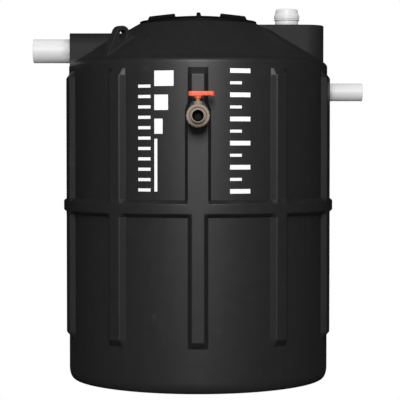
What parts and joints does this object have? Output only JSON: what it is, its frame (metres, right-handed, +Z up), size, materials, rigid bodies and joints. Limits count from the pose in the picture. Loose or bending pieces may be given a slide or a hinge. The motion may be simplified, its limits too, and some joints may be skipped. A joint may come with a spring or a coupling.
{
  "type": "biogas digester tank",
  "caption": "Upright ribbed plastic digester tank with conical shoulder, round hatch lid, inlet, outlet and capped vent pipes, lifting lugs and a sludge ball valve.",
  "frame": {"origin": "centre of the flat base, on the floor", "axes": "+Z up the tank's axis, -Y the front with the sludge valve, +X towards the outlet pipe"},
  "size_m": [1.407, 1.2714, 1.563],
  "materials": {
    "tank_shell": "satin moulded black polyethylene with a faint orange-peel",
    "lid_shell": "smoother black polyethylene",
    "white_pipe": "smooth white drain pipe plastic",
    "brown_valve": "satin brown valve plastic",
    "orange_handle": "satin orange-red handle plastic"
  },
  "bodies": {
    "tank": {"tank_floor": "tank_shell", "wall_segment_01": "tank_shell", "wall_segment_02": "tank_shell", "wall_segment_03": "tank_shell", "wall_segment_04": "tank_shell", "wall_segment_05": "tank_shell", "wall_segment_06": "tank_shell", "wall_segment_07": "tank_shell", "wall_segment_08": "tank_shell", "wall_segment_09": "tank_shell", "wall_segment_10": "tank_shell", "shoulder_segment_1": "tank_shell", "shoulder_segment_2": "tank_shell", "shoulder_segment_3": "tank_shell", "shoulder_segment_4": "tank_shell", "shoulder_segment_5": "tank_shell", "shoulder_segment_6": "tank_shell", "shoulder_segment_7": "tank_shell", "shoulder_segment_8": "tank_shell", "hatch_neck": "tank_shell", "inlet_boss": "tank_shell", "vent_tower": "tank_shell", "lifting_lug_front": "tank_shell", "lifting_lug_rear": "tank_shell", "inlet_pipe": "white_pipe", "outlet_pipe": "white_pipe", "vent_pipe": "white_pipe", "valve_stub": "brown_valve", "valve_rear_nut": "brown_valve", "valve_body": "brown_valve", "valve_front_nut": "brown_valve", "valve_tail": "brown_valve"},
    "lid": {"hatch_lid": "lid_shell"},
    "cap": {"vent_cap": "white_pipe"},
    "handle": {"valve_lever": "orange_handle", "valve_stem": "brown_valve", "valve_ball": "brown_valve"}
  },
  "joints": [
    {"name": "lid_lift", "type": "slide", "parent": "tank", "child": "lid", "axis": [0, 0, 1], "range_m": [0, 0.3]},
    {"name": "cap_lift", "type": "slide", "parent": "tank", "child": "cap", "axis": [0, 0, 1], "range_m": [0, 0.15]},
    {"name": "valve_turn", "type": "hinge", "parent": "tank", "child": "handle", "pos_m": [0, -0.63, 1.093], "axis": [0, 0, -1], "range_deg": [0, 90]}
  ]
}
